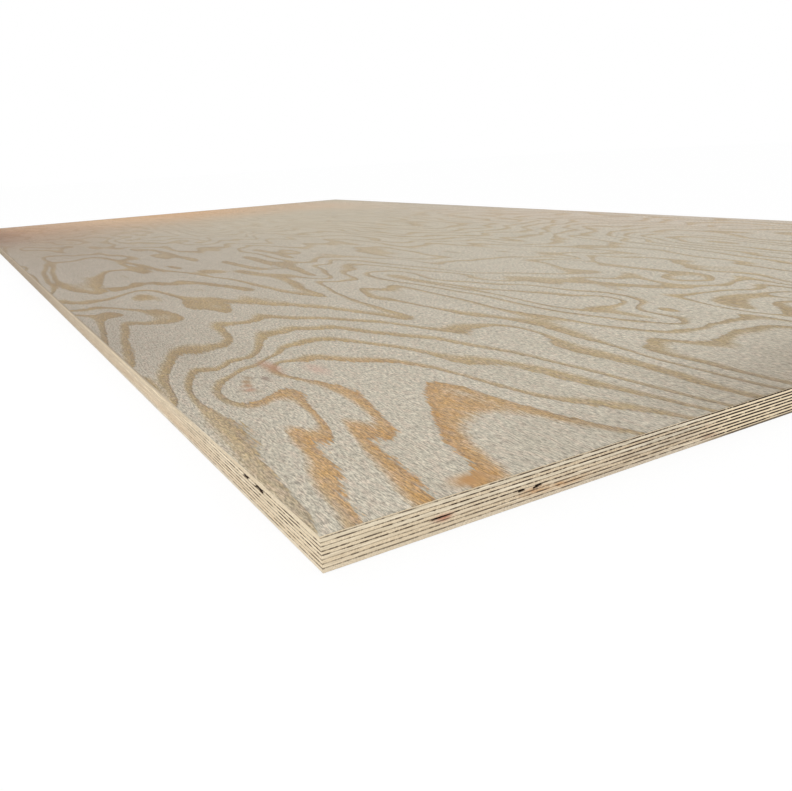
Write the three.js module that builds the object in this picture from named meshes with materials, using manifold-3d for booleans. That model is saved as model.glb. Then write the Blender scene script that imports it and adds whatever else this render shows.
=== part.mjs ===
// A full sheet of nine-ply softwood plywood, lying flat with its face veneer up.
//
// Millimetres, +Z up. X runs along the sheet's length, which is also the grain of the face
// veneer, and Y runs across its width. The origin is the centre of the underside.
//
// The sheet is a lay-up of rotary-cut veneers. Every other ply is turned a quarter turn, so
// odd plies run their grain along X and even plies across it, counting down from the face.
// Where a core veneer had a loose knot or stopped short of its neighbour, the trim saw has
// opened the void, and it shows as a small dark pocket in the sawn edge.

import * as THREE from 'three';
import { mergeVertices } from 'three/addons/utils/BufferGeometryUtils.js';
import Module from 'manifold-3d';

// ---- Driving dimensions ----------------------------------------------------------------

const SHEET_LENGTH = 2440;
const SHEET_WIDTH = 1220;

const FACE_THICKNESS = 0.9;   // the face is sanded, which leaves it thinner than the rest
const CROSS_THICKNESS = 2.25; // crossbands, which run their grain across the sheet
const LONG_THICKNESS = 1.95;  // inner plies that run their grain along the sheet
const BACK_THICKNESS = 2.25;

const POCKET_SEGMENTS = 12;   // round the half of a pocket that lies in the sheet

// ---- Finish ----------------------------------------------------------------------------

const FACE_FINISH = { color: 0xbfb79e, roughness: 0.72, metalness: 0 };
const LONG_FINISH = { color: 0xd9c49a, roughness: 0.85, metalness: 0 };
const CROSS_FINISH = { color: 0xe6d3ad, roughness: 0.82, metalness: 0 };
const BACK_FINISH = { color: 0xc9bca6, roughness: 0.78, metalness: 0 };

// ---- Lay-up, from the face down --------------------------------------------------------

const LAY_UP = [
	{ name: 'face_veneer', thickness: FACE_THICKNESS, finish: FACE_FINISH },
	{ name: 'cross_ply_2', thickness: CROSS_THICKNESS, finish: CROSS_FINISH },
	{ name: 'long_ply_3', thickness: LONG_THICKNESS, finish: LONG_FINISH },
	{ name: 'cross_ply_4', thickness: CROSS_THICKNESS, finish: CROSS_FINISH },
	{ name: 'long_ply_5', thickness: LONG_THICKNESS, finish: LONG_FINISH },
	{ name: 'cross_ply_6', thickness: CROSS_THICKNESS, finish: CROSS_FINISH },
	{ name: 'long_ply_7', thickness: LONG_THICKNESS, finish: LONG_FINISH },
	{ name: 'cross_ply_8', thickness: CROSS_THICKNESS, finish: CROSS_FINISH },
	{ name: 'back_veneer', thickness: BACK_THICKNESS, finish: BACK_FINISH },
];

// Voids that the saw opened. `edge` is the sawn side they show in: 'long' is the +Y side and
// 'end' is the -X side. `along` is the distance from the corner that those two sides share to
// the middle of the void, `width` is its width in the sawn edge, `reach` is how far it runs
// into the sheet, and `share` is how much of its ply it takes, from the top of the ply down.

const EDGE_VOIDS = [
	{ ply: 'long_ply_3', edge: 'long', along: 73.5, width: 11, reach: 9, share: 1 },
	{ ply: 'long_ply_3', edge: 'long', along: 93, width: 8, reach: 12, share: 1 },
	{ ply: 'cross_ply_6', edge: 'end', along: 64, width: 14, reach: 7, share: 0.45 },
	{ ply: 'cross_ply_6', edge: 'end', along: 112.5, width: 4.5, reach: 6, share: 0.55 },
	{ ply: 'cross_ply_6', edge: 'end', along: 123.5, width: 7, reach: 6, share: 0.6 },
	{ ply: 'cross_ply_6', edge: 'end', along: 183.5, width: 7, reach: 5, share: 0.25 },
	{ ply: 'cross_ply_8', edge: 'end', along: 201, width: 4, reach: 4, share: 0.3 },
];

// ---- Construction ----------------------------------------------------------------------

const wasm = await Module();
wasm.setup();

function toSolid( geometry ) {

	const shell = geometry.clone();
	shell.deleteAttribute( 'normal' );
	shell.deleteAttribute( 'uv' );
	const merged = mergeVertices( shell );
	return new wasm.Manifold( new wasm.Mesh( {
		numProp: 3,
		vertProperties: new Float32Array( merged.getAttribute( 'position' ).array ),
		triVerts: new Uint32Array( merged.index.array ),
	} ) );

}

function toGeometry( solid ) {

	const mesh = solid.getMesh();
	const smooth = new THREE.BufferGeometry();
	smooth.setAttribute( 'position', new THREE.BufferAttribute( mesh.vertProperties, 3 ) );
	smooth.setIndex( new THREE.BufferAttribute( mesh.triVerts, 1 ) );
	const faceted = smooth.toNonIndexed();
	faceted.computeVertexNormals();
	return faceted;

}

// One veneer trimmed to the sheet, standing on its own underside.

function veneerBlank( thickness ) {

	const outline = new THREE.Shape();
	outline.moveTo( - SHEET_LENGTH / 2, - SHEET_WIDTH / 2 );
	outline.lineTo( SHEET_LENGTH / 2, - SHEET_WIDTH / 2 );
	outline.lineTo( SHEET_LENGTH / 2, SHEET_WIDTH / 2 );
	outline.lineTo( - SHEET_LENGTH / 2, SHEET_WIDTH / 2 );
	outline.closePath();
	return new THREE.ExtrudeGeometry( outline, { depth: thickness, bevelEnabled: false } );

}

// The cutter for one void: an ellipse in plan, centred on the sawn edge that it opens in.
// Above the ply it stands proud by its own depth, so that its top face never meets the ply's.

function voidCutter( edgeVoid, thickness ) {

	const inEnd = edgeVoid.edge === 'end';
	const x = - SHEET_LENGTH / 2 + ( inEnd ? 0 : edgeVoid.along );
	const y = SHEET_WIDTH / 2 - ( inEnd ? edgeVoid.along : 0 );
	const radiusX = inEnd ? edgeVoid.reach : edgeVoid.width / 2;
	const radiusY = inEnd ? edgeVoid.width / 2 : edgeVoid.reach;

	const outline = new THREE.Shape();
	outline.absellipse( x, y, radiusX, radiusY, 0, 2 * Math.PI );

	const depth = thickness * edgeVoid.share;
	const goesThrough = edgeVoid.share === 1;
	const height = ( goesThrough ? 3 : 2 ) * depth;
	const cutter = new THREE.ExtrudeGeometry( outline, {
		depth: height,
		bevelEnabled: false,
		curveSegments: POCKET_SEGMENTS,
	} );
	cutter.translate( 0, 0, thickness + depth - height );
	return cutter;

}

function plyGeometry( ply ) {

	let solid = toSolid( veneerBlank( ply.thickness ) );
	for ( const edgeVoid of EDGE_VOIDS.filter( ( v ) => v.ply === ply.name ) ) {

		solid = solid.subtract( toSolid( voidCutter( edgeVoid, ply.thickness ) ) );

	}

	return toGeometry( solid );

}

// ---- Assembly --------------------------------------------------------------------------

const sheet = new THREE.Group();
sheet.name = 'plywood_sheet';

// The stack grows by the thickness as it is stored, in single precision, so that each ply's
// underside is exactly the top of the one below it.

let level = 0;
for ( const ply of [ ...LAY_UP ].reverse() ) {

	const mesh = new THREE.Mesh( plyGeometry( ply ), new THREE.MeshStandardMaterial( ply.finish ) );
	mesh.name = ply.name;
	mesh.position.z = level;
	sheet.add( mesh );
	level += Math.fround( ply.thickness );

}

export default sheet;
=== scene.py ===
"""How the plywood sheet looks: its nine plies as veneer, with their grain, figure and glue lines."""
import math

import bpy
import numpy as np
from mathutils import Matrix, Vector


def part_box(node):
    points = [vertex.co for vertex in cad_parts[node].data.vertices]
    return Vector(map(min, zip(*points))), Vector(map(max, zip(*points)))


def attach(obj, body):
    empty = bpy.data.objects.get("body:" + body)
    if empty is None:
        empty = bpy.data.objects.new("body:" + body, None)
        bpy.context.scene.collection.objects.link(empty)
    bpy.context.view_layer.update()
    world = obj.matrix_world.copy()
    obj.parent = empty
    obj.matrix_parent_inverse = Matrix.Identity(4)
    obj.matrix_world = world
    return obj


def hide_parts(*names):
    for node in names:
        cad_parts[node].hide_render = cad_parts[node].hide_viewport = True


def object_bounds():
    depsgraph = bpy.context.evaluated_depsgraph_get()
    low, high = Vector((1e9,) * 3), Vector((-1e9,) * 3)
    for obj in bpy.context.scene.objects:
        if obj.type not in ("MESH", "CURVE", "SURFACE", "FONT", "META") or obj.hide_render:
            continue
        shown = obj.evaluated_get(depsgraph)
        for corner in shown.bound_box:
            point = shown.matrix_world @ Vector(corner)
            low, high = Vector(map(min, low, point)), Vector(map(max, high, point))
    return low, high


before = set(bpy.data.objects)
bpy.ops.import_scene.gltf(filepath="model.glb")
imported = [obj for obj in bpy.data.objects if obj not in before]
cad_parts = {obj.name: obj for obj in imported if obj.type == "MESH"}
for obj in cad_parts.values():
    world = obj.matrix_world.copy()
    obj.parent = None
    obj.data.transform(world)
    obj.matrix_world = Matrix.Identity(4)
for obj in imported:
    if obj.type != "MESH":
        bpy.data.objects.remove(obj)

CAD_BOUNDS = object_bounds()

# ---- The sheet, from the frame ----

PLIES_FROM_BACK = [
    "back_veneer", "cross_ply_8", "long_ply_7", "cross_ply_6", "long_ply_5",
    "cross_ply_4", "long_ply_3", "cross_ply_2", "face_veneer",
]

SHEET_LOW, SHEET_HIGH = CAD_BOUNDS
NEAR_X, FAR_X = SHEET_LOW.x, SHEET_HIGH.x
LEFT_Y, RIGHT_Y = SHEET_HIGH.y, SHEET_LOW.y
LENGTH, WIDTH = FAR_X - NEAR_X, LEFT_Y - RIGHT_Y
FACE_Z = SHEET_HIGH.z

MM = 0.001

# ---- Camera: it stands just outside the sheet's near corner ----

CAMERA_PLACE = Vector((-1.49369, 0.72485, 0.17342))
CAMERA_FORWARD = Vector((0.82705, -0.47369, -0.30266)).normalized()
CAMERA_UP = Vector((0.23417, -0.19916, 0.95158))
FOCAL_PIXELS = 760.79
IMAGE_WIDTH, IMAGE_HEIGHT = 792, 791
SENSOR_MM = 36
SEEN_FROM, SEEN_TO = 0.01, 100

CAMERA_RIGHT = CAMERA_FORWARD.cross(CAMERA_UP).normalized()
CAMERA_UP = CAMERA_RIGHT.cross(CAMERA_FORWARD)

# ---- Light and floor ----

WHITE = (1, 1, 1, 1)
SKY_STRENGTH = 0.84
KEY_WATTS, KEY_SIZE = 14, 1.2
KEY_PLACE = Vector((-1.7, 2.6, 1.3))
KEY_AIM = Vector((-0.7, 0.2, 0))
FLOOR_SHADOW = 0.15      # share of the floor's own shading that the camera sees
FLOOR_GLOW = 1.03
FLOOR_REACH = 12         # metres from its middle to a side
FLOOR_GAP = 0.5 * MM     # how far the floor lies under the sheet

# ---- Figure of the face ----
#
# A rotary cut veneer shows its growth rings as the level lines of one smooth surface, the age
# of the wood at each place: a dark latewood band lies wherever the age is a whole number.
# BANDS follows the bands over the face: a ring, the side of its strokes that is older wood,
# and the strokes. Each has the band's width there in millimetres, and then pixels of the
# photograph along its middle, each written x,y. PALE_WOOD has the age and then such pixels,
# along strokes between the bands and inside the wide ones.

LEFT, RIGHT = 1, -1      # older wood on this side of a stroke, going along it
CREST, VALLEY = 0, 2     # younger, or older, wood on both sides

BANDS = [
    (2, RIGHT, [
        (14, 492,472, 482,464, 470,453, 459,445, 451,437), (12, 446,428, 442,416, 436,392),
        (9, 437,385, 448,385.5, 462,389, 480,395), (7, 490,398, 500,401.5), (12, 510,405.5, 548,414.5),
        (5, 560,417.5, 620,430, 645,434), (3.5, 274,373, 288,375.5), (7, 298,379, 310,381.5, 325,385.5),
        (9, 340,388, 350,394, 362,403, 375,414, 384,426, 387,433), (8, 378,436, 352,424, 356,432, 366,443),
        (11, 371,449, 381,457), (15, 395,469.5, 426,499)]),
    (2, LEFT, [
        (4, 272,362, 282,361.5), (9, 292,361, 305,359),
        (5, 400,362, 420,365, 440,369, 500,386, 520,390.5, 540,396, 552,398),
        (12, 577,400, 590,401.5, 602,403.5), (15, 614,405.5, 628,407), (5, 655,411.5, 694,418)]),
    (3, RIGHT, [
        (4, 714,410.5, 680,403, 660,397.5, 640,393.5), (8, 624,389.5, 590,382.5),
        (11, 576,378, 530,367, 515,364.5), (26, 486,362.5, 456,358.5), (4, 445,356, 400,347, 345,340),
        (8, 325,338.5, 308,340.5, 292,345, 281,349),
        (3.5, 276,353, 270,359.5, 262,363, 240,370.5, 230,376.5), (7, 221,381, 218,388, 218.5,395, 222,400),
        (3, 230,403.5, 240,405, 252,405.5, 260,404), (12, 268,398.5, 279,395.5), (18, 289,394.5, 301,395.5),
        (5, 304,402, 310,411, 318,419.5), (8, 323,425, 329,431),
        (8, 322,436, 308,437, 296,432, 300,440, 306,448), (11, 312,450, 317,456), (17, 323,466, 333,490),
        (12, 341,503, 355,524)]),
    (4, LEFT, [
        (10, 303,521, 263,478, 240,445), (9, 232,434, 219,421, 196,401),
        (7, 190,393, 187,384, 189,377, 194,372.5), (4, 203,370.5, 215,369.5, 224,366.5),
        (6, 228,362, 238,359.5, 249,357.5), (9, 256,352, 259,344, 261,337),
        (7, 267,334.5, 278,332.5, 290,329), (5, 305,328, 320,328, 335,327, 380,333, 440,338.5),
        (3.5, 455,341.5, 475,345.5, 500,349.5, 520,353.5, 600,372.7, 680,393.7, 728,405)]),
    (5, LEFT, [
        (11, 172,404, 164,390, 163,380, 167,369, 171,360, 175,353), (34, 188,350.5, 198,349.5, 208,347.5),
        (7, 229,339.5, 221,328.5, 216,326), (7, 223,324.5, 247,322), (9, 255,320, 260,318),
        (4, 270,316.5, 300,318, 325,318, 350,320, 380,321.5, 440,330), (24, 450,329, 460,328, 467,326.5),
        (3.5, 479,325.5, 495,325, 510,325.8, 532,330.5, 545,334.5), (16, 577,349, 602,354.5),
        (5, 612,356, 625,359.5), (12, 640,364.5, 668,371.5, 684,376.5), (6, 700,382, 730,390, 760,397)]),
    (6, LEFT, [
        (7, 131,366, 125.5,342, 125,332), (20, 155,322.5, 175,319.5), (12, 176,315, 165,313, 153,312.5),
        (5, 145,311, 115,308.5, 100,308), (12, 78,303, 92,301.5),
        (5, 104,300, 118,296.5, 132,292, 150,290.5, 162,292.5, 177,296.5), (28, 236,299.5, 248,301.5),
        (16, 262,303, 280,304), (10, 300,305.5, 315,306.5), (6, 330,308, 347,310, 388,316, 402,317.5),
        (12, 398,315, 386,311), (6, 378,308, 370,305), (24, 366,301, 349,294),
        (4, 372,298, 386,298.5, 440,309, 450,310.5), (12, 463,313, 487,316),
        (5, 498,317.5, 510,318.5, 520,320.5), (12, 535,323, 548,326, 572,333.5),
        (3.5, 620,347.5, 655,358.5, 680,365, 700,369.5, 720,374.8, 788,390.5)]),
    (6, RIGHT, [
        (12, 364,289, 380,289.5, 392,288), (4, 402,286.5, 440,294.5, 470,301.5, 490,307, 503,310),
        (9, 515,312, 525,314.5, 535,316),
        (4, 575,321, 590,324, 605,326.3, 645,330.5, 665,332, 680,331.7, 706,327.5)]),
    (7, RIGHT, [
        (4, 740,371.5, 715,364.5, 700,361), (8, 690,359, 675,355.5),
        (20, 665,350.5, 647,342.5, 653,340.5, 663,340.5), (6, 678,341.5, 692,342.5),
        (15, 706,343.5, 716,343, 724,341), (9, 729.5,337.5, 733,333), (7, 742,331.5, 750,329.5),
        (13, 758,328, 768,327), (5, 778,326.5, 792,327.2)]),
    (7, LEFT, [(5, 106,344, 101.5,325, 99,319, 108,316.7, 118,315)]),
    (7, CREST, [(6, 125,289.5, 132,287, 142,284.3, 155,283, 170,284), (8, 197,283, 215,285, 250,290)]),
    (7, LEFT, [(6, 222,278, 238,280.5, 292,293, 312,295)]),
    (7, RIGHT, [
        (11, 279,277.5, 288,280, 303,290), (12, 92,292, 82,291.5, 70,288.5, 61,284),
        (14, 53,281, 50,273, 51,266), (7, 58,262.5, 70,261.5, 90,258, 104,258.3, 116,260.5)]),
    (7, LEFT, [
        (18, 97,291, 95,283, 98,277), (10, 104,273, 122,270), (9, 139,265, 160,270),
        (5, 175,271.5, 201,274.5, 208,272.5, 218,271)]),
    (8, CREST, [
        (8, 150,250, 160,251.5, 168,253.5), (12, 176,256.5, 186,258, 195,260),
        (10, 226,262, 234,264.5, 241,265), (13, 250,258, 273,264), (8, 288,262, 293,268, 312,275)]),
    (9, CREST, [(6, 257,250, 280,254.3, 290,257.5)]),
    (5, RIGHT, [(4, 427,286, 455,291, 475,294, 495,298, 515,303, 555,311, 600,317, 640,321.5, 660,322.5)]),
    (5, LEFT, [
        (4, 500,284, 530,285, 570,290, 607,292.5, 632,297, 643,301.5, 638,307, 645,311, 655,314,
            675,315.5)]),
    (4, LEFT, [
        (4, 425,281, 480,288.5, 580,295.5, 600,296, 615,298, 627,302, 618,305.5),
        (16, 608,307.5, 597,309.5)]),
    (4, VALLEY, [(4, 618,313.5, 658,318.5)]),
    (6, CREST, [
        (5, 520,280, 545,282.3, 562,281.5, 610,283, 640,286, 657,287), (16, 669,285.5, 682,286, 697,288)]),
    (6, LEFT, [(4, 625,273.5, 645,279, 655,281, 662,283)]),
    (6, CREST, [(8, 656,309, 671,309.7)]),
    (7, CREST, [(16, 572,271, 592,271.5), (12, 602,264.5, 616,265), (10, 646,269.5, 656,269.5)]),
    (7, RIGHT, [(5, 664,277, 680,274, 695,273, 708,276, 710,280, 690,281, 675,279.5)]),
    (6, LEFT, [(7, 715,285.5, 728,284, 738,280, 750,278, 766,281)]),
    (5, RIGHT, [(4, 753,290, 738,289.5, 715,291, 683,295.5, 669,295.5, 685,298.5, 712,305.5, 730,308.5)]),
    (4, RIGHT, [(4, 770,292, 757,295.5, 743,298)]),
    (4, CREST, [(14, 724,299.5, 737,301.5), (4, 737,305.5, 747,308.5)]),
    (7, LEFT, [(5, 703,270, 725,272, 752,273.5, 790,282)]),
    (8, LEFT, [(5, 636,248, 660,250, 675,253, 700,257, 730,260)]),
    (7, LEFT, [(5, 480,273, 515,273, 562,274)]),
    (5, CREST, [(14, 778,314.5, 788,311.5)]),
    (8, LEFT, [(6, 430,263, 510,257, 550,257, 580,259)]),
]

PALE_WOOD = [
    (1.98, 448,394, 456,403, 454,414, 456,426), (2, 462,397, 468,405, 463,416),
    (2.06, 480,403, 474,411, 469,420), (2, 457,475.5, 481,481), (1.96, 459,480, 468,484, 478,487),
    (2, 486,464, 504,477), (1.62, 452,467.5, 465,470.5), (1.5, 449,477, 451,484),
    (2.5, 526,478, 512,464, 497,446, 487,429, 504,418, 535,427, 570,434, 600,442, 560,462, 540,445),
    (1.5, 440,489, 437,476, 430,462, 418,445, 412,425, 408,400, 410,380, 400,370, 375,369.5, 345,370,
        285,367.5),
    (1.5, 395,386, 380,381, 362,376), (1.5, 440,374, 470,381, 500,392, 540,402, 580,409, 620,417, 660,423),
    (2.5, 300,383.5, 325,394, 342,404, 350,415), (2.5, 352,448, 362,464, 390,500, 400,514),
    (2.5, 300,350, 340,349.5, 380,351, 420,358, 460,367, 500,375, 540,384, 580,391.5, 620,397, 660,404,
        690,412),
    (3, 486,362.5, 456,358.5), (2.55, 313,396, 320,407, 330,418), (2.6, 342,460, 354,478, 372,514),
    (2.64, 238,399.5, 251,399.5, 262,396), (3.38, 242,409, 256,409, 266,404.5),
    (3.5, 292,458, 284,440, 270,428, 262,416, 285,412, 300,420), (3.5, 300,480, 310,496, 325,512),
    (3.5, 240,364, 215,374, 204,384, 206,396, 222,408, 245,414),
    (3.5, 290,337, 330,333.5, 410,343, 450,349, 490,354, 530,361, 570,369, 610,379, 650,390, 690,400),
    (4.5, 165,410, 158,400, 150,392),
    (4.5, 180,392, 176,375, 184,362, 205,360, 235,352, 248,345, 243,333, 262,325, 290,323, 330,322.5,
        380,327),
    (6, 152,315.5, 173,316), (6, 158,322.5, 168,321.5), (6.45, 114,342, 113,328, 119,320, 135,319, 146,319),
    (5.55, 138,340, 148,346, 156,338, 150,358), (5.5, 168,331, 185,333, 200,333.5, 210,337),
    (6.02, 194,298.5, 205,299.5, 226,300.5), (6, 190,303, 224,304.5), (5.98, 192,307, 214,309, 228,309.5),
    (5.65, 178,304, 182,310, 192,313.5), (6.5, 188,287, 205,287, 225,290),
    (5.5, 120,303, 172,306, 184,313, 200,317, 222,317, 240,311, 262,310, 300,312),
    (6.4, 262,295, 300,298.5, 345,303.5), (6.07, 532,318.5, 563,325.5), (6.4, 440,302, 475,307, 500,313),
    (6.45, 640,342, 620,337, 600,333, 584,328.5), (5.5, 395,306, 372,300, 352,288),
    (5.5, 560,336, 540,328.5, 500,322, 450,317), (7.08, 733,346.8, 740,348.3),
    (7.5, 745,354, 700,351, 675,348), (7.5, 745,341, 770,340, 785,350), (7.5, 268,281, 280,285),
    (7.03, 125,266, 129,270), (7.5, 72,280, 75,267, 90,265), (6.5, 118,285, 140,276, 195,278),
    (7.5, 215,275, 235,274, 262,279), (7.5, 140,256, 165,263, 200,267, 250,270), (7.55, 206,261, 216,264),
    (5.45, 690,320, 705,318), (3.6, 560,299, 595,301), (5.72, 600,278, 625,279.5, 642,282.5),
    (6.6, 652,276, 664,280.5, 690,283), (5.5, 655,298, 650,291, 690,290.5),
    (6.6, 560,264, 585,262, 605,258, 630,262, 634,270, 600,277), (6.6, 640,262, 665,266, 675,270),
    (7.3, 680,277, 695,276.5), (4.5, 755,301, 772,299, 788,299), (7.5, 22,256, 32,260, 41,268),
    (7.5, 14,250, 50,254, 110,252, 130,254), (7.5, 440,267, 552,269), (8.5, 430,252, 530,248, 590,251),
    (4.5, 548,347.5, 560,352.5, 580,358.5, 600,363.5, 700,391), (7.5, 752,352, 772,354, 792,357),
    (7.5, 748,361, 792,371), (6.5, 648,335, 670,336.5, 690,335.5), (7.5, 20,244, 40,244, 60,246, 90,245),
    (7.5, 240,246, 280,243, 310,242), (8.5, 320,250, 345,251, 360,254), (7.5, 28,262, 36,272, 44,284),
    (7.5, 88,266, 104,266, 112,265),
]

BAND_EDGE = 0.12            # rings from the middle of a band to its edge
BAND_STEPS = (0.008, 0.03)  # metres between guide points at the near end, and how much
PALE_STEPS = (0.020, 0.05)  # that grows with each metre along the sheet
STEPS_GROW_FROM = 0.1       # metres along the sheet
GUIDE_SLACK = 0.04          # rings by which the surface may miss a guide point
GUIDE_MARGIN = 0.05         # metres past the sheet where guide points still count
PLACES_AT_ONCE = 8000

# How the age varies over the face: rings, and the distance in metres that a swing of that size
# takes across the grain and along it.
FIGURE_SCALES = [(2.2, 0.14, 0.50), (0.8, 0.045, 0.15), (0.25, 0.014, 0.045)]
FIGURE_WAVES = 120
FIGURE_START = 1.5      # ring at FIGURE_LINE metres from the left edge
FIGURE_LINE = 0.2
FIGURE_SLOPE = 7.2      # rings a metre, across the sheet
FACE_SEED, BACK_SEED = 5, 11

# ---- Edges ----
#
# Voids that the saw opened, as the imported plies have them: the ply, the side, and then in
# millimetres the place from the near corner, the width and the reach into the sheet; last, the
# share of the ply's thickness that is open, and how much the void slants.

EDGE_VOIDS = [
    ("long_ply_3", "left", 73.5, 11, 9, 1, 0),
    ("long_ply_3", "left", 93, 8, 12, 1, 0),
    ("cross_ply_6", "end", 64, 14, 7, 0.45, 0.1),
    ("cross_ply_6", "end", 112, 4, 6, 0.55, 0),
    ("cross_ply_6", "end", 123, 5.5, 6, 0.7, 0.25),
    ("cross_ply_6", "end", 183.5, 7, 5, 0.25, 0),
    ("cross_ply_8", "end", 201, 4, 4, 0.3, 0),
]

# ---- Mesh helpers ----

CAP_STEP = 4    # points of the outline for each point of the coarser ring in a cap


def graded(length, fine, growth, coarse):
    """Distances from 0 to length, closest together at 0, in steps that CAP_STEP divides evenly."""
    places = [0.0]
    while places[-1] < length:
        places.append(places[-1] + min(coarse, fine + growth * places[-1]))
    steps = CAP_STEP * math.ceil((len(places) - 1) / CAP_STEP)
    while len(places) <= steps:
        places.append(places[-1] + coarse)
    return np.array(places) * length / places[-1]


class Outline:
    """The sheet's outline as points, counterclockwise from the near corner, down the end first."""

    def __init__(self, xs, ys):
        nx, ny = len(xs), len(ys)
        cells = [(0, j) for j in range(ny - 1)]
        cells += [(i, ny - 1) for i in range(nx - 1)]
        cells += [(nx - 1, j) for j in range(ny - 1, 0, -1)]
        cells += [(i, 0) for i in range(nx - 1, 0, -1)]
        i, j = np.array(cells).T
        self.grid_index = i * ny + j
        self.x, self.y = xs[i], ys[j]
        self.inward_x = np.where(i == 0, 1.0, np.where(i == nx - 1, -1.0, 0.0))
        self.inward_y = np.where(j == 0, -1.0, np.where(j == ny - 1, 1.0, 0.0))
        self.sides = {"left": (j == 0, self.x - NEAR_X), "end": (i == 0, LEFT_Y - self.y)}
        step = np.hypot(np.diff(self.x, append=self.x[0]), np.diff(self.y, append=self.y[0]))
        self.run = np.concatenate([[0.0], np.cumsum(step)[:-1]])
        self.count = len(i)

    def inset(self, depth):
        return self.x + self.inward_x * depth, self.y + self.inward_y * depth

    def wander(self, wavelength, seed, waves=14):
        """A smooth seeded wobble along the outline, about -1 to 1, that closes on itself."""
        random = np.random.default_rng(seed)
        round_trip = 2 * (LENGTH + WIDTH)
        turns = np.round(round_trip / wavelength * random.uniform(0.4, 1.8, waves))
        phase = random.uniform(0, 2 * np.pi, waves)
        angle = 2 * np.pi * self.run[:, None] * turns[None] / round_trip + phase[None]
        return np.sin(angle).sum(1) / math.sqrt(waves)


def make_object(name, verts, triangles, quads, layers, face_layer, materials):
    """A mesh object, with numbers kept at each vertex and the material of each face."""
    mesh = bpy.data.meshes.new(name)
    mesh.vertices.add(len(verts))
    mesh.vertices.foreach_set("co", np.asarray(verts, np.float32).ravel())
    corners = np.concatenate([np.asarray(quads, np.int32).ravel(), np.asarray(triangles, np.int32).ravel()])
    sizes = np.concatenate([np.full(len(quads), 4), np.full(len(triangles), 3)])
    starts = np.concatenate([[0], np.cumsum(sizes)[:-1]])
    mesh.loops.add(len(corners))
    mesh.loops.foreach_set("vertex_index", corners)
    mesh.polygons.add(len(sizes))
    mesh.polygons.foreach_set("loop_start", starts.astype(np.int32))
    mesh.polygons.foreach_set("material_index", np.asarray(face_layer, np.int32))
    for label, values in layers.items():
        attribute = mesh.attributes.new(label, "FLOAT", "POINT")
        attribute.data.foreach_set("value", np.asarray(values, np.float32))
    mesh.update(calc_edges=True)
    mesh.validate()
    for material in materials:
        mesh.materials.append(material)
    return add_object(name, mesh)


def add_object(name, data):
    thing = bpy.data.objects.new(name, data)
    bpy.context.collection.objects.link(thing)
    return thing


# ---- Plies ----

BOTTOMS = {name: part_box(name)[0].z for name in PLIES_FROM_BACK}
TOPS = {name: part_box(name)[1].z for name in PLIES_FROM_BACK}

GLUE_WAVER = 0.10 * MM    # how far a glue line strays from flat at the edge
SAW_WAVER = 0.10 * MM     # how far the sawn edge strays inside its plane
GLUE_GROOVE = 0.22 * MM   # how deep a glue line is, at most
PLY_STEP = 0.07 * MM      # how far one ply stands back from the next
FRAY = 0.05 * MM          # roughness from point to point
CAP_RIM = 0.02            # width of the first band of faces round a hidden side

# Spacing of the points along the sides of an inner ply and over the two faces, along the sheet
# and across it: metres at the near corner, how much that grows with each metre, and the most.
INNER_SPACING = (0.0009, 0.006, 0.010), (0.0009, 0.006, 0.010)
FACE_SPACING = (0.003, 0.006, 0.0091), (0.0025, 0.005, 0.0062)
BACK_SPACING = (0.003, 0.010, 0.012), (0.003, 0.010, 0.010)


def void_depth(outline, void, height):
    """How deep a void is round the outline, in metres, at this height in its ply."""
    _, side, place, width, reach, share, slant = void
    on_side, along = outline.sides[side]
    torn = outline.wander(0.005, seed=int(place * 10 + height * 40))
    across = (along - place * MM) / (width * MM / 2)
    up = (height - (1 - share / 2) - slant * across) / (share / 2 + 0.02)
    apart = np.hypot(across, np.abs(up) ** 1.5 * 0.9) + 0.10 * torn
    return np.where(on_side, reach * MM * np.clip((1 - apart) * 3, 0, 1), 0.0)


def level_waver(outline, level):
    """How far the glue line at this level strays. The two outer faces don't."""
    if level in (0, len(PLIES_FROM_BACK)):
        return np.zeros(outline.count)
    slow = outline.wander(0.20, seed=100 + level)
    quick = outline.wander(0.03, seed=200 + level)
    return GLUE_WAVER * (0.55 * slow + 0.25 * quick)


def side_rings(outline, name):
    """The rings of points up a ply's sawn sides: places, and the height of each in the ply."""
    level = PLIES_FROM_BACK.index(name)
    low = BOTTOMS[name] + level_waver(outline, level)
    high = TOPS[name] + level_waver(outline, level + 1)
    saw = SAW_WAVER * (0.5 + 0.25 * outline.wander(0.35, seed=7))
    step = PLY_STEP * (0.6 + 0.3 * outline.wander(0.05, seed=300 + level))
    broken = 0.5 + 0.5 * outline.wander(0.012, seed=400 + level)
    random = np.random.default_rng(500 + level)
    voids = [void for void in EDGE_VOIDS if void[0] == name]
    middle = np.linspace(0.15, 0.85, 11) if voids else (0.25, 0.5, 0.75)
    points, heights = [], []
    for share in (0.0, 0.07, *middle, 0.93, 1.0):
        groove = 0.0
        if share < 0.03 and level > 0 or share > 0.97 and level < len(PLIES_FROM_BACK) - 1:
            groove = GLUE_GROOVE * np.clip(broken, 0.15, 1)
        depth = saw + step + groove + FRAY * random.uniform(0, 1, outline.count)
        for void in voids:
            depth = depth + void_depth(outline, void, share)
        x, y = outline.inset(np.maximum(depth, 0))
        points.append(np.stack([x, y, low + (high - low) * share], 1))
        heights.append(np.full(outline.count, share))
    return points, heights


def wall_quads(rings):
    """Faces up the sides, between each ring of vertices and the next."""
    pairs = zip(rings[:-1], rings[1:])
    return np.concatenate([
        np.stack([lower, np.roll(lower, -1), np.roll(upper, -1), upper], 1) for lower, upper in pairs])


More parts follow.
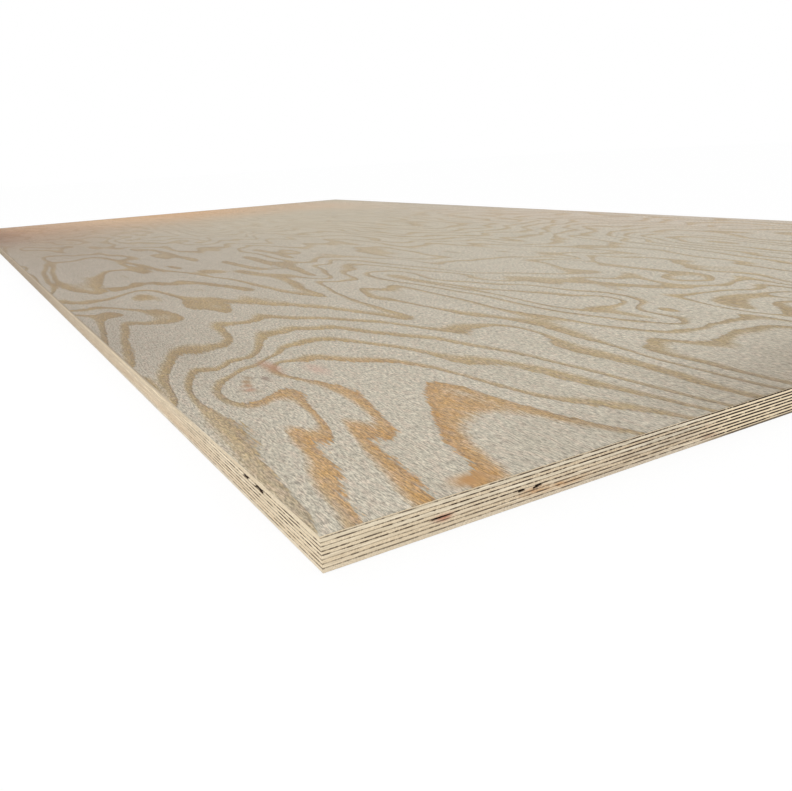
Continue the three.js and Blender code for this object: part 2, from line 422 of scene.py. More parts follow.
def plain_cap(ring, first_new, outline, z, upward):
    """Closes a hidden side: a rim of faces, a coarser ring inside it and a fan to the middle."""
    inner = np.arange(0, outline.count, CAP_STEP)
    rim_x, rim_y = outline.inset(CAP_RIM)
    verts = np.stack([rim_x[inner], rim_y[inner], np.full(len(inner), z)], 1)
    inside = first_new + np.arange(len(inner))
    centre = first_new + len(inner)
    here = np.arange(outline.count)
    after = (here + 1) % outline.count
    inner_here = inside[here // CAP_STEP]
    inner_after = inside[after // CAP_STEP]
    rim = np.stack([ring[here], ring[after], inner_here], 1)
    turn = inner_here != inner_after
    wedge = np.stack([ring[after[turn]], inner_after[turn], inner_here[turn]], 1)
    fan = np.stack([inside, np.roll(inside, -1), np.full(len(inside), centre)], 1)
    triangles = np.concatenate([rim, wedge, fan])
    if not upward:
        triangles = triangles[:, ::-1]
    return np.concatenate([verts, [[0, 0, z]]]), triangles


def grid_quads(nx, ny, upward):
    index = np.arange(nx * ny).reshape(nx, ny)
    quads = np.stack([index[:-1, :-1], index[:-1, 1:], index[1:, 1:], index[1:, :-1]], -1).reshape(-1, 4)
    return quads if upward else quads[:, ::-1]


def inner_ply(name, outline, material):
    """A ply between two others: its sawn sides show, and its faces are plain."""
    points, heights = side_rings(outline, name)
    rings = [k * outline.count + np.arange(outline.count) for k in range(len(points))]
    start = len(points) * outline.count
    low_verts, low_faces = plain_cap(rings[0], start, outline, BOTTOMS[name], upward=False)
    start += len(low_verts)
    high_verts, high_faces = plain_cap(rings[-1], start, outline, TOPS[name], upward=True)
    verts = np.concatenate([*points, low_verts, high_verts])
    height = np.concatenate([*heights, np.zeros(len(low_verts)), np.ones(len(high_verts))])
    quads = wall_quads(rings)
    triangles = np.concatenate([low_faces, high_faces])
    faces = np.zeros(len(quads) + len(triangles))
    return make_object(name + "_veneer", verts, triangles, quads, {"ply_height": height}, faces, [material])


def outer_ply(name, xs, ys, ages, materials):
    """The face or back veneer: a fine grid on its outer face that holds the age of the wood."""
    upward = name == "face_veneer"
    outline = Outline(xs, ys)
    points, heights = side_rings(outline, name)
    if upward:
        points, heights = points[::-1], heights[::-1]
    grid_x, grid_y = np.meshgrid(xs, ys, indexing="ij")
    grid = np.stack([grid_x.ravel(), grid_y.ravel(), np.full(grid_x.size, points[0][0, 2])], 1)
    grid[outline.grid_index] = points[0]
    rings, start = [outline.grid_index], len(grid)
    for _ in points[1:]:
        rings.append(start + np.arange(outline.count))
        start += outline.count
    hidden_z = BOTTOMS[name] if upward else TOPS[name]
    cap_verts, cap_faces = plain_cap(rings[-1], start, outline, hidden_z, upward=not upward)
    verts = np.concatenate([grid, *points[1:], cap_verts])
    height = [np.full(len(grid), heights[0][0]), *heights[1:], np.full(len(cap_verts), heights[-1][0])]
    walls = wall_quads(rings)
    if upward:
        walls = walls[:, ::-1]
    top = grid_quads(len(xs), len(ys), upward)
    faces = np.concatenate([np.zeros(len(top)), np.ones(len(walls) + len(cap_faces))])
    age, pace = np.zeros((2, len(verts)))
    age[:len(grid)] = ages
    pace[:len(grid)] = np.hypot(*np.gradient(ages.reshape(grid_x.shape), xs, ys)).ravel()
    layers = {"ply_height": np.concatenate(height), "ring_age": age, "ring_pace": pace}
    quads = np.concatenate([top, walls])
    return make_object(name + "_figured", verts, cap_faces, quads, layers, faces, materials)


# ---- Age of the wood over a face ----

def place_on_face(pixels):
    """Metres across and along the face, from the near corner, for pixels given as x, y, x, y."""
    places = []
    for px, py in zip(pixels[::2], pixels[1::2]):
        ray = CAMERA_FORWARD * FOCAL_PIXELS
        ray = ray + CAMERA_RIGHT * (px - IMAGE_WIDTH / 2) - CAMERA_UP * (py - IMAGE_HEIGHT / 2)
        point = CAMERA_PLACE + ray * ((FACE_Z - CAMERA_PLACE.z) / ray.z)
        places.append((LEFT_Y - point.y, point.x - NEAR_X))
    return np.array(places)


def walk(pixels, spacing, spread):
    """Close points along a stroke of pixels, and the unit vector to the left of it at each."""
    line = place_on_face(pixels)
    places, lefts = [], []
    for start, end in zip(line[:-1], line[1:]):
        step = end - start
        length = math.hypot(*step)
        gap = spacing + spread * max(0.0, start[1] - STEPS_GROW_FROM)
        count = math.ceil(length / gap)
        places.append(start + step * np.arange(count)[:, None] / count)
        lefts.append(np.tile([-step[1] / length, step[0] / length], (count, 1)))
    places = np.concatenate([*places, line[-1:]])
    lefts = np.concatenate([*lefts, lefts[-1][-1:]])
    smooth = lefts.copy()
    smooth[1:-1] = lefts[:-2] + lefts[1:-1] + lefts[2:]
    return places, smooth / np.linalg.norm(smooth, axis=1, keepdims=True)


def guide_points():
    """The places that the figure is guided by, and the age at each."""
    guides = []
    for ring, rise, strokes in BANDS:
        for width, *pixels in strokes:
            middle, left = walk(pixels, *BAND_STEPS)
            side = left * width * MM / 2
            if rise in (LEFT, RIGHT):
                step = rise * BAND_EDGE
                guides += [(middle + side, ring + step), (middle - side, ring - step)]
            else:
                edge_age = ring + (BAND_EDGE if rise == VALLEY else -BAND_EDGE)
                guides += [(middle + side, edge_age), (middle - side, edge_age), (middle, ring)]
    guides += [(walk(pixels, *PALE_STEPS)[0], age) for age, *pixels in PALE_WOOD]
    places = np.concatenate([row for row, _ in guides])
    ages = np.concatenate([np.full(len(row), float(age)) for row, age in guides])
    on_sheet = (places > -GUIDE_MARGIN).all(1) & (places < np.array([WIDTH, LENGTH]) + GUIDE_MARGIN).all(1)
    return places[on_sheet], ages[on_sheet]


def likeness(first, second):
    """How much the ages at two sets of places go together."""
    total = np.zeros((len(first), len(second)), np.float32)
    for rings, across, along in FIGURE_SCALES:
        scale = np.array([across, along])
        a, b = (first / scale).astype(np.float32), (second / scale).astype(np.float32)
        apart = (a[:, None, 0] - b[None, :, 0]) ** 2 + (a[:, None, 1] - b[None, :, 1]) ** 2
        total += np.float32(rings ** 2) * np.exp(np.float32(-0.5) * apart)
    return total


def wild_age(places, seed):
    """The age that a face has where nothing guides it: a slope with swings of every scale."""
    random = np.random.default_rng(seed)
    age = FIGURE_START + FIGURE_SLOPE * np.maximum(places[:, 0] - FIGURE_LINE, -FIGURE_LINE)
    for rings, across, along in FIGURE_SCALES:
        pace = random.normal(size=(FIGURE_WAVES, 2)) / np.array([across, along])
        phase = random.uniform(0, 2 * np.pi, FIGURE_WAVES)
        age = age + rings * math.sqrt(2 / FIGURE_WAVES) * np.cos(places @ pace.T + phase).sum(1)
    return age


def guided_age(places, seed):
    """The wild age, bent so that it passes through every guide point."""
    guides, ages = guide_points()
    ties = likeness(guides, guides).astype(float) + np.eye(len(guides)) * GUIDE_SLACK ** 2
    pull = np.linalg.solve(ties, ages - wild_age(guides, seed)).astype(np.float32)
    age = wild_age(places, seed)
    for start in range(0, len(places), PLACES_AT_ONCE):
        part = slice(start, start + PLACES_AT_ONCE)
        age[part] += likeness(places[part], guides) @ pull
    return age


# ---- Materials ----

def srgb(red, green, blue):
    """A colour given as 0 to 255 on screen, as Blender's linear light."""
    linear = [c / 255 / 12.92 if c <= 10 else ((c / 255 + 0.055) / 1.055) ** 2.4 for c in (red, green, blue)]
    return (*linear, 1.0)


class Nodes:
    """Short names for the nodes that the materials and the sky are made of."""

    def __init__(self, owner):
        owner.use_nodes = True
        self.owner = owner
        self.tree = owner.node_tree
        self.place = self.add("TexCoord", output="Object")

    def feed(self, socket, value):
        if isinstance(value, bpy.types.NodeSocket):
            self.tree.links.new(value, socket)
        elif value is not None:
            socket.default_value = value

    def add(self, kind, *values, output=0, **settings):
        """An output of a new node that has these settings and takes the values in turn."""
        node = self.tree.nodes.new("ShaderNode" + kind)
        for label, setting in settings.items():
            setattr(node, label, setting)
        for socket, value in zip(node.inputs, values):
            self.feed(socket, value)
        return node.outputs[output]

    def math(self, operation, *values, clamp=False):
        return self.add("Math", *values, operation=operation, use_clamp=clamp)

    def times(self, total, *values):
        for value in values:
            total = self.math("MULTIPLY", total, value)
        return total

    def plus(self, total, *values):
        for value in values:
            total = self.math("ADD", total, value)
        return total

    def minus(self, a, b):
        return self.math("SUBTRACT", a, b)

    def vector(self, operation, *values, output=0):
        return self.add("VectorMath", *values, operation=operation, output=output)

    def join(self, x, y, z):
        return self.add("CombineXYZ", x, y, z)

    def xyz(self):
        node = self.tree.nodes.new("ShaderNodeSeparateXYZ")
        self.feed(node.inputs[0], self.place)
        return node.outputs

    def noise(self, scales, offset=(0, 0, 0), detail=2.0, roughness=0.5):
        """Noise over the object, stretched so that it is finer one way than another."""
        stretched = self.add("Mapping", self.place, offset, None, scales)
        return self.add("TexNoise", stretched, None, 1.0, detail, roughness)

    def range(self, value, low, high, to_low=0.0, to_high=1.0, smooth=False):
        kind = "SMOOTHSTEP" if smooth else "LINEAR"
        return self.add("MapRange", value, low, high, to_low, to_high, interpolation_type=kind)

    def part(self, along, across, smooth=False):
        """1 in one part of the sheet and 0 outside, from and to places along X and across Y."""
        x, y, _ = self.xyz()
        return self.times(self.range(x, *along, smooth=smooth), self.range(y, *across, smooth=smooth))

    def swing(self, texture, amount):
        """A texture from 0 to 1, as a swing of this much either way."""
        return self.times(self.minus(texture, 0.5), 2 * amount)

    def shade(self, colour, texture, low, high, amount):
        """The colour, darker or lighter by this amount as the texture goes from low to high."""
        grey = self.range(texture, low, high, 1 - amount, 1 + amount)
        return self.vector("MULTIPLY", colour, self.join(grey, grey, grey))

    def ramp(self, value, stops):
        node = self.tree.nodes.new("ShaderNodeValToRGB")
        ramp = node.color_ramp
        while len(ramp.elements) < len(stops):
            ramp.elements.new(0.5)
        for element, (place, level) in zip(ramp.elements, stops):
            element.position = place
            element.color = (level, level, level, 1)
        self.feed(node.inputs[0], value)
        return node.outputs[0]

    def mix(self, share, a, b, blend="MIX"):
        number_and_vector_inputs = [None] * 5
        return self.add("Mix", share, *number_and_vector_inputs, a, b, output=2,
                        data_type="RGBA", blend_type=blend, clamp_factor=True)

    def layer(self, name):
        return self.add("Attribute", output="Fac", attribute_name=name)

    def spot(self, centre, radii):
        """1 at a place on the object, falling to 0 at these radii round it."""
        scaled = self.vector("DIVIDE", self.vector("SUBTRACT", self.place, centre), radii)
        return self.range(self.vector("LENGTH", scaled, output=1), 1.0, 0.0, smooth=True)

    def bump(self, height, strength, distance=0.3 * MM):
        return self.add("Bump", strength, distance, None, height)

    def seen_directly(self):
        """1 for what the camera sees, also in a gloss or through glass, and 0 for other light."""
        path = self.tree.nodes.new("ShaderNodeLightPath").outputs
        total = path["Is Camera Ray"]
        for label in ("Is Glossy Ray", "Is Transmission Ray"):
            total = self.math("ADD", total, path[label], clamp=True)
        return total

    def finish(self, colour, roughness, normal, specular=0.25):
        """The material, with its shader set."""
        inputs = self.tree.nodes["Principled BSDF"].inputs
        self.feed(inputs["Base Color"], colour)
        self.feed(inputs["Roughness"], roughness)
        self.feed(inputs["Normal"], normal)
        inputs["Specular IOR Level"].default_value = specular
        return self.owner


def new_material(name):
    return Nodes(bpy.data.materials.new(name))


# Textures of the two faces: scales along, across and up, and for most the detail and roughness.
FIBRE = (26, 620, 1), 3, 0.6
DASH = (190, 1050, 1), 2.5, 0.75
FLECK = (55, 230, 1), 3, 0.65
MOTTLE = (9, 40, 1), 4, 0.6
CLOUD = (2.2, 6, 1), 3, 0.5
DUCT = (40, 1500, 1)
BLUSHES = (90, 240, 1)

# Shares over one ring, from half a ring before the middle of its band to half a ring after: of
# the band, and of the dark rim that it starts with.
BAND_STOPS = [(0.335, 0.0), (0.38, 1.0), (0.58, 0.95), (0.65, 0.5), (0.75, 0.0)]
RIM_STOPS = [(0.335, 0.0), (0.37, 1.0), (0.42, 0.35), (0.49, 0.0)]


def figured(n, seed, early, thin, broad, strength, least_broad=0.0):
    """Latewood bands from the age of the wood, with fibres along X: colour, relief and their share."""
    first, second = seed * 3.1, seed * 1.7
    fibre, dash, fleck, mottle, cloud = [
        n.noise(scales, (first, second, 0), detail, roughness)
        for scales, detail, roughness in (FIBRE, DASH, FLECK, MOTTLE, CLOUD)]
    duct = n.noise(DUCT, (second, first, 0), detail=1)
    blush = n.noise(BLUSHES, (second, 0, first))

    age = n.plus(n.layer("ring_age"), n.swing(fibre, 0.14), n.swing(dash, 0.08), n.swing(fleck, 0.08))
    ring = n.math("FRACT", n.plus(age, 0.5))
    late_share = n.times(n.ramp(ring, BAND_STOPS), n.range(cloud, 0.3, 0.7, 0.9, 1.0))
    late_share = n.math("MULTIPLY", late_share, n.range(fleck, 0.3, 0.65, 0.75, 1.08), clamp=True)
    late_share = n.times(late_share, strength)

    wide = n.range(n.layer("ring_pace"), THIN_PACE, BROAD_PACE, smooth=True)
    wide = n.math("MAXIMUM", wide, least_broad)
    late = [n.mix(wide, narrow, full) for narrow, full in zip(thin, broad)]
    pale = n.mix(n.range(mottle, 0.3, 0.7), early[0], early[1])
    dark = n.mix(n.range(mottle, 0.35, 0.65), late[0], late[1])
    colour = n.mix(late_share, pale, dark)
    rim = n.times(n.ramp(ring, RIM_STOPS), n.range(wide, 0, 1, 0.75, 0.35), strength)
    colour = n.mix(rim, colour, late[2])
    colour = n.mix(n.range(blush, 0.45, 0.65, 0, 0.22), colour, BLUSH)
    colour = n.shade(colour, fibre, 0.3, 0.7, 0.07)
    colour = n.shade(colour, dash, 0.37, 0.63, 0.44)
    colour = n.shade(colour, fleck, 0.3, 0.7, 0.09)
    colour = n.mix(n.range(duct, 0.66, 0.76, 0, 0.40), colour, late[2])
    return colour, n.plus(fibre, dash, n.times(late_share, 0.35)), late_share


def colours(*tones):
    return [srgb(*tone) for tone in tones]


# Two tones of the wood between the bands. Each band has two tones and a dark rim: thin bands
# are greyer, and broad ones golden, above all near the near corner.
FACE_EARLY = colours((201, 193, 175), (191, 183, 164))
FACE_THIN = colours((174, 153, 113), (160, 138, 99), (122, 102, 69))
FACE_BROAD = colours((182, 159, 113), (167, 142, 95), (130, 107, 70))
FACE_GOLD = colours((192, 149, 85), (179, 134, 69), (146, 103, 52))
BACK_EARLY = colours((205, 192, 168), (196, 182, 156))
BACK_THIN = colours((188, 158, 118), (176, 144, 104), (140, 106, 72))
BACK_BROAD = colours((194, 154, 106), (182, 140, 92), (150, 110, 72))
BLUSH = srgb(206, 176, 158)
BROAD_PACE, THIN_PACE = 24, 66  # rings a metre where a band is fully broad, and fully thin

# Parts of the face, from and to places along X and across Y.
GOLDEN = (-0.88, -1.08), (0.39, 0.46)
GOLD_LIMIT, GOLD_SLANT = (0.402, 0.386), 0.17   # limit of Y + GOLD_SLANT * X
BY_LEFT_EDGE = (-1.00, -1.20), (0.575, 0.605)
RIGHT_SIDE = (-0.95, -0.75), (0.30, 0.15)
RIGHT_END = (-0.95, -1.15), (0.36, 0.16)
LEFT_SIDE = (-1.04, -0.90), (0.30, 0.50)
FAR_RIGHT = (-0.2, 0.3), (RIGHT_Y + 0.010, RIGHT_Y + 0.002)
FAR_END = FAR_X - 0.022, FAR_X - 0.004
FADING = (-0.25, 0.55)  # where the bands fade along the sheet
RIGHT_END_TINT = (0.80, 0.80, 0.78, 1)
LEFT_SIDE_TINT = (0.97, 0.93, 0.80, 1)

# Small marks on the face, round the pin knot and at the foot of a band by the near end: a pixel
# of the photograph, radii along and across the sheet in millimetres, and a colour with how much
# of it there is at the middle.
FACE_MARKS = [
    ((270, 366.5), (36, 9), (202, 142, 116), 0.55),
    ((270, 369), (34, 8), (168, 130, 86), 0.5),
    ((266, 378.6), (11, 5), (128, 104, 88), 0.8),
    ((248, 378), (11, 5), (150, 122, 84), 0.6),
    ((246.5, 382), (11, 5.5), (166, 132, 86), 0.8),
    ((247, 386), (9, 6.5), (176, 130, 88), 0.85),
    ((250, 390), (8, 7), (186, 134, 102), 0.75),
    ((242, 391), (10, 4), (150, 130, 104), 0.4),
    ((257, 391), (9, 8), (158, 138, 108), 0.4),
    ((316.5, 369), (30, 11), (206, 162, 142), 0.5),
    ((470, 479.5), (13, 18), (190, 142, 84), 1.0),
]

# Broad changes of tone over the face: middle and radii in metres, the colour that the paler
# wood turns there, and how far it does. The second row is painted shade over the left part of
# the face, and the rows with middles past X = 0.7 m are a painted warm reflection at the far end.
FACE_TONES_AND_PAINTED_LIGHT = [
    ((0.4, -0.1), (1.2, 0.65), (194, 178, 148), 0.35),
    # Painted shade: a darker tone over the left part of the face.
    ((-0.05, 0.66), (1.32, 0.8), (158, 143, 128), 0.66),
    ((-1.22, 0.1), (0.14, 0.5), (152, 140, 122), 0.8),
    ((-0.2, -0.6), (1.1, 0.42), (214, 199, 181), 0.75),
    ((-0.76, 0.62), (0.42, 0.17), (146, 134, 120), 0.38),
    # Painted warm reflection at the far end, here and in the other rows with middles past X = 0.7 m.
    ((1.2, 0.04), (0.66, 0.74), (226, 181, 133), 0.84),
    ((0.98, 0.6), (0.78, 0.4), (184, 144, 108), 0.8),
    ((0.85, 0.64), (0.7, 0.16), (150, 128, 112), 0.75),
    ((0.72, 0.32), (0.44, 0.44), (193, 174, 149), 0.75),
    ((0.35, 0.5), (0.5, 0.22), (190, 177, 155), 0.9),
    ((0.85, -0.46), (0.5, 0.26), (218, 197, 171), 0.6),
]
FAR_RIM = srgb(120, 98, 80)


def face_material():
    n = new_material("face_figure")
    x, y, _ = n.xyz()
    golden = n.times(n.part(*GOLDEN, smooth=True),
                     n.range(n.plus(y, n.times(x, GOLD_SLANT)), *GOLD_LIMIT, 0.1, 1.0))
    broad = [n.mix(golden, brown, gold) for brown, gold in zip(FACE_BROAD, FACE_GOLD)]
    strength = n.minus(n.range(x, *FADING, 1.0, 0.38), n.times(n.part(*BY_LEFT_EDGE), 0.4))
    strength = n.times(strength, n.minus(1.0, n.times(n.part(*RIGHT_SIDE), 0.28)))
    colour, relief, late_share = figured(n, 1, FACE_EARLY, FACE_THIN, broad, strength, n.times(golden, 0.8))
    for part, tint in ((RIGHT_END, RIGHT_END_TINT), (LEFT_SIDE, LEFT_SIDE_TINT)):
        colour = n.mix(n.times(late_share, n.part(*part)), colour, tint, blend="MULTIPLY")
    ragged = n.range(n.noise((60, 260, 1), detail=3, roughness=0.65), 0.25, 0.45)
    for pixel, (along, across), mark, share in FACE_MARKS:
        across_sheet, along_sheet = place_on_face(pixel)[0]
        centre = (NEAR_X + along_sheet, LEFT_Y - across_sheet, FACE_Z)
        spot = n.spot(centre, (along * MM, across * MM, 1))
        colour = n.mix(n.times(spot, ragged, share), colour, srgb(*mark))
    # Broad tones of the wood, with painted shade over the left part and a painted warm reflection at the far
    # end.
    for (tone_x, tone_y), (along, across), tone, share in FACE_TONES_AND_PAINTED_LIGHT:
        spot = n.spot((tone_x, tone_y, FACE_Z), (along, across, 1))
        tint = tuple(a / b for a, b in zip(srgb(*tone), FACE_EARLY[0]))
        colour = n.mix(n.times(spot, share), colour, tint, blend="MULTIPLY")
    far_rim = n.math("MAXIMUM", n.range(x, *FAR_END), n.part(*FAR_RIGHT))
    colour = n.mix(n.times(far_rim, 0.5), colour, FAR_RIM)
    return n.finish(colour, n.range(late_share, 0, 1, 0.72, 0.6), n.bump(relief, 0.7), specular=0.5)


def back_material():
    n = new_material("back_figure")
    colour, relief, late_share = figured(n, 5, BACK_EARLY, BACK_THIN, BACK_BROAD, 0.85)
    return n.finish(colour, n.range(late_share, 0, 1, 0.8, 0.7), n.bump(relief, 0.8))


# Each ply's edge, lighter and deeper wood, and how dark the glue line on top of it is.
EDGE_TONES = {
    "face_veneer": ((236, 224, 200), (210, 192, 162), 0.0),
    "cross_ply_2": ((238, 227, 205), (216, 198, 168), 0.85),
    "long_ply_3": ((244, 230, 205), (216, 195, 163), 0.9),
    "cross_ply_4": ((240, 229, 207), (213, 194, 163), 1.0),
    "long_ply_5": ((243, 228, 202), (215, 193, 161), 0.9),
    "cross_ply_6": ((239, 226, 203), (212, 190, 159), 1.0),
    "long_ply_7": ((241, 225, 198), (212, 188, 156), 0.7),
    "cross_ply_8": ((238, 223, 198), (209, 187, 156), 0.8),
    "back_veneer": ((236, 225, 206), (211, 197, 177), 0.72),
}
GLUE_BROWN = srgb(58, 35, 14)
GLUE_BLACK = srgb(42, 19, 3)
# Painted shade: the dark brown deep inside the voids.
VOID_SHADE_BROWN = srgb(40, 22, 15)
END_GRAIN = srgb(206, 178, 140)
CREAM = srgb(249, 232, 200)
WARM_CREAM = srgb(255, 236, 202)
SIDE_GREY = srgb(168, 152, 132)

# Scales of an edge's grain: along the fibres, across them, and up the edge.
ALONG_GRAIN, ACROSS_GRAIN, UP_GRAIN = 60, 900, 1500

# Where the edges change, in metres from one place to another: from the near corner, along X on
# the left side, across Y on the near end, and up.
PALE_CORNER = (0.02, 0.19)
AGED, GREYED, UNGLUED = (-1.00, -0.20), (-1.05, -0.90), (-1.10, -0.98)
CRISP, DARKER_GLUE, FIRMER_GLUE = (0.372, 0.336), (0.58, 0.38), (0.56, 0.42)
CREAM_FROM, CREAM_TO, GREY_FROM = (0.0129, 0.0136), (0.0166, 0.0159), (0.0157, 0.0168)
# Past this depth the edge turns to painted shade, dark brown, as deep in a void.
VOID_WALL = (0.0004, 0.0012)  # metres inside the edge where it turns as dark as a void

# Marks on the near end: millimetres from the near corner and up, radii along and up, and a
# colour with how much of it there is at the middle.
END_MARKS = [
    ((64.5, 7.7), (10, 3.0), (198, 108, 80), 0.8),
    ((120, 6.0), (16, 3.2), (206, 150, 92), 0.75),
    ((138, 4.6), (32, 3.0), (204, 154, 100), 0.75),
    ((143, 8.7), (7, 0.8), (84, 54, 34), 0.75),
    ((199, 4.4), (5, 1.1), (66, 42, 28), 0.85),
    ((254, 4.2), (9, 2.4), (96, 52, 36), 1.0),
    ((257, 2.6), (12, 2.6), (150, 92, 70), 1.0),
    ((252, 10.5), (7, 2.2), (170, 112, 86), 0.6),
    ((215, 9.0), (42, 8.0), (184, 168, 146), 0.4),
]


def edge_material(name):
    """The sawn edge of one ply: streaks where it is cut along the grain, specks across it."""
    n = new_material(name + "_edge")
    level = PLIES_FROM_BACK.index(name)
    light, deep, glue_above = EDGE_TONES[name]
    glue_below = EDGE_TONES[PLIES_FROM_BACK[level - 1]][2] if level else 0.0
    crossed = name.startswith("cross")
    bottom_mm, top_mm = BOTTOMS[name] / MM, TOPS[name] / MM
    shift = (level * 1.3, level * 2.1, level * 0.7)
    scales = (ACROSS_GRAIN, ALONG_GRAIN, UP_GRAIN) if crossed else (ALONG_GRAIN, ACROSS_GRAIN, UP_GRAIN)
    grain = n.noise(scales, shift, detail=3, roughness=0.7)
    patch = n.noise((14, 14, 160), shift, detail=3, roughness=0.6)
    tone = n.plus(n.times(grain, 0.6), n.times(patch, 0.45))
    colour = n.mix(n.range(tone, 0.36, 0.68), srgb(*deep), srgb(*light))
    colour = n.shade(colour, grain, 0.32, 0.68, 0.24)

    x, y, z = n.xyz()
    from_end = n.minus(LENGTH / 2, n.math("ABSOLUTE", x))
    from_side = n.minus(WIDTH / 2, n.math("ABSOLUTE", y))
    on_end = n.math("LESS_THAN", from_end, from_side)
    on_side = n.minus(1.0, on_end)
    on_left = n.times(on_side, n.math("GREATER_THAN", y, 0.0))
    end_grain = n.times(on_side if crossed else on_end, 0.3 if name == "face_veneer" else 0.22)
    colour = n.mix(end_grain, colour, END_GRAIN)
    from_corner = n.minus(n.minus(x, y), NEAR_X - LEFT_Y)
    colour = n.mix(n.range(from_corner, *PALE_CORNER, 0.42, 0.0), colour, CREAM)
    ragged = n.range(n.noise((120, 120, 500), shift, detail=3, roughness=0.7), 0.3, 0.6)
    for (along_mm, up_mm), (along, upward), mark, share in END_MARKS:
        if bottom_mm - upward < up_mm < top_mm + upward:
            centre = (NEAR_X, LEFT_Y - along_mm * MM, up_mm * MM)
            spot = n.spot(centre, (10 * MM, along * MM, upward * MM))
            colour = n.mix(n.times(spot, ragged, share), colour, srgb(*mark))

    # The left side greys away from the near corner, with a cream line under its upper edge.
    colour = n.mix(n.times(on_left, n.range(x, *AGED, 0.10, 0.85)), colour, SIDE_GREY)
    greyed = n.times(on_left, n.range(x, *GREYED))
    cream = n.times(n.range(z, *CREAM_FROM), n.range(z, *CREAM_TO))
    colour = n.mix(n.times(greyed, cream, 0.15), colour, CREAM)
    colour = n.mix(n.times(greyed, n.range(z, *GREY_FROM, 0.0, 0.95)), colour, SIDE_GREY)
    # The near end is crisper from about 0.25 m on: creamier wood, blacker and broader lines.
    crisp = n.times(on_end, n.range(y, *CRISP))
    colour = n.mix(n.times(crisp, 0.93), colour, WARM_CREAM)

    height = n.layer("ply_height")
    upper = n.math("GREATER_THAN", height, 0.5)
    from_glue = n.times(n.math("MINIMUM", height, n.minus(1.0, height)), top_mm - bottom_mm)
    darkness = n.range(upper, 0, 1, glue_below, glue_above)
    gone = n.times(on_left, n.range(x, *UNGLUED, 0, 0.9))
    if name in ("face_veneer", "cross_ply_2"):
        gone = n.math("MAXIMUM", gone, n.times(on_left, upper if name == "cross_ply_2" else 1.0))
    glue = n.math("MAXIMUM", n.range(y, *DARKER_GLUE, 0.94, 1.22), n.times(on_left, 1.08))
    darkness = n.times(darkness, n.minus(1.0, gone), glue, n.range(crisp, 0, 1, 1.0, 1.5))
    film = n.join(n.times(x, 130), n.times(y, 130), n.times(n.plus(upper, level), 7.3))
    breaks = n.add("TexNoise", film, None, 1.0, 4, 0.7)
    firm = n.plus(n.range(y, *FIRMER_GLUE, 0.0, 0.04), n.times(crisp, 0.05))
    strong = n.range(n.plus(breaks, firm), 0.42, 0.58, smooth=True)
    reach = n.times(n.range(strong, 0, 1, 0.26, 0.48), n.range(crisp, 0, 1, 1.12, 1.36))
    line = n.range(n.math("DIVIDE", from_glue, reach), 0.35, 1.0, 1.0, 0.0, smooth=True)
    share = n.math("MULTIPLY", line, n.times(darkness, n.range(strong, 0, 1, 0.5, 1.0)), clamp=True)
    colour = n.mix(share, colour, n.mix(crisp, GLUE_BROWN, GLUE_BLACK))
    # On the crisp part of the near end, the face veneer's upper arris and the back veneer's lower arris turn
    # glue brown; the lower line is partly painted contact shadow under the sheet.
    if name in ("face_veneer", "back_veneer"):
        dark_arris_and_contact_shadow = n.range(height, 0.55, 0.9) if name == "face_veneer" else n.range(height, 0.60, 0.46)
        colour = n.mix(n.times(dark_arris_and_contact_shadow, crisp, 0.85), colour, GLUE_BROWN)
    # Painted shade: deeper than the glue grooves, inside the voids, the edge turns dark brown.
    inside = n.range(n.math("MINIMUM", from_end, from_side), *VOID_WALL)
    colour = n.mix(n.times(inside, 0.96), colour, VOID_SHADE_BROWN)
    return n.finish(colour, 0.85, n.bump(n.minus(grain, n.times(line, 0.6)), 0.6))


FLOOR_TONES = colours((244, 244, 244), (248, 248, 248))


def floor_material():
    """White to the camera, and a pale floor to the light, keeping a share of the shadow."""
    n = new_material("pale_floor")
    material = n.finish(n.mix(n.noise((3, 3, 3)), *FLOOR_TONES), 0.9, None)
    lit = n.tree.nodes["Principled BSDF"].outputs[0]
    glow = n.add("Emission", None, FLOOR_GLOW)
    both = n.add("MixShader", n.times(n.seen_directly(), 1 - FLOOR_SHADOW), lit, glow)
    n.feed(n.tree.nodes["Material Output"].inputs[0], both)
    return material


# ---- Build ----


def declare(piece, name):
    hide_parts(name)
    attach(piece, "root")


def grid_lines(along, across):
    """Places along X and down Y, from the near corner."""
    return NEAR_X + graded(LENGTH, *along), LEFT_Y - graded(WIDTH, *across)


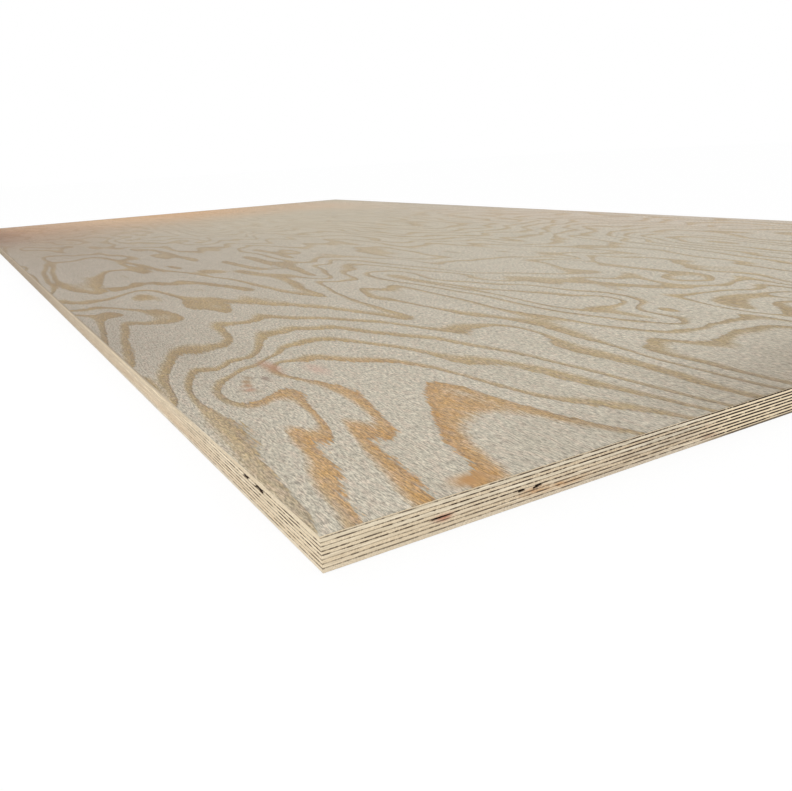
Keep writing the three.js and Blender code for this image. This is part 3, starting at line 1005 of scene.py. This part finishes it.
def build_plies():
    outline = Outline(*grid_lines(*INNER_SPACING))
    for name in PLIES_FROM_BACK[1:-1]:
        declare(inner_ply(name, outline, edge_material(name)), name)
    for name, spacing, age_of, seed, figure in (
            ("face_veneer", FACE_SPACING, guided_age, FACE_SEED, face_material),
            ("back_veneer", BACK_SPACING, wild_age, BACK_SEED, back_material)):
        xs, ys = grid_lines(*spacing)
        across, along = np.meshgrid(LEFT_Y - ys, xs - NEAR_X)
        ages = age_of(np.stack([across.ravel(), along.ravel()], 1), seed)
        declare(outer_ply(name, xs, ys, ages, [figure(), edge_material(name)]), name)


def build_floor():
    mesh = bpy.data.meshes.new("floor")
    corners = [(-1, -1), (1, -1), (1, 1), (-1, 1)]
    places = [(x * FLOOR_REACH, y * FLOOR_REACH, -FLOOR_GAP) for x, y in corners]
    mesh.from_pydata(places, [], [(0, 1, 2, 3)])
    mesh.materials.append(floor_material())
    floor = add_object("floor", mesh)


def build_light():
    world = bpy.data.worlds.new("studio")
    bpy.context.scene.world = world
    n = Nodes(world)
    sky = n.tree.nodes["Background"]
    sky.inputs["Color"].default_value = WHITE
    sky.inputs["Strength"].default_value = SKY_STRENGTH
    both = n.add("MixShader", n.seen_directly(), sky.outputs[0], n.add("Background", WHITE))
    n.feed(n.tree.nodes["World Output"].inputs[0], both)

    lamp = bpy.data.lights.new("key", "AREA")
    lamp.energy = KEY_WATTS
    lamp.shape = "DISK"
    lamp.size = KEY_SIZE
    key = add_object("key", lamp)
    key.location = KEY_PLACE
    key.rotation_euler = (KEY_AIM - KEY_PLACE).to_track_quat("-Z", "Y").to_euler()


def build_camera():
    lens = bpy.data.cameras.new("photo_view")
    lens.sensor_fit = "HORIZONTAL"
    lens.sensor_width = SENSOR_MM
    lens.lens = FOCAL_PIXELS / IMAGE_WIDTH * SENSOR_MM
    lens.clip_start, lens.clip_end = SEEN_FROM, SEEN_TO
    camera = add_object("photo_view", lens)
    turn = Matrix((CAMERA_RIGHT, CAMERA_UP, -CAMERA_FORWARD)).transposed()
    camera.matrix_world = Matrix.Translation(CAMERA_PLACE) @ turn.to_4x4()
    bpy.context.scene.camera = camera


build_plies()
build_floor()
build_light()
build_camera()
bpy.context.scene.view_settings.view_transform = "Standard"
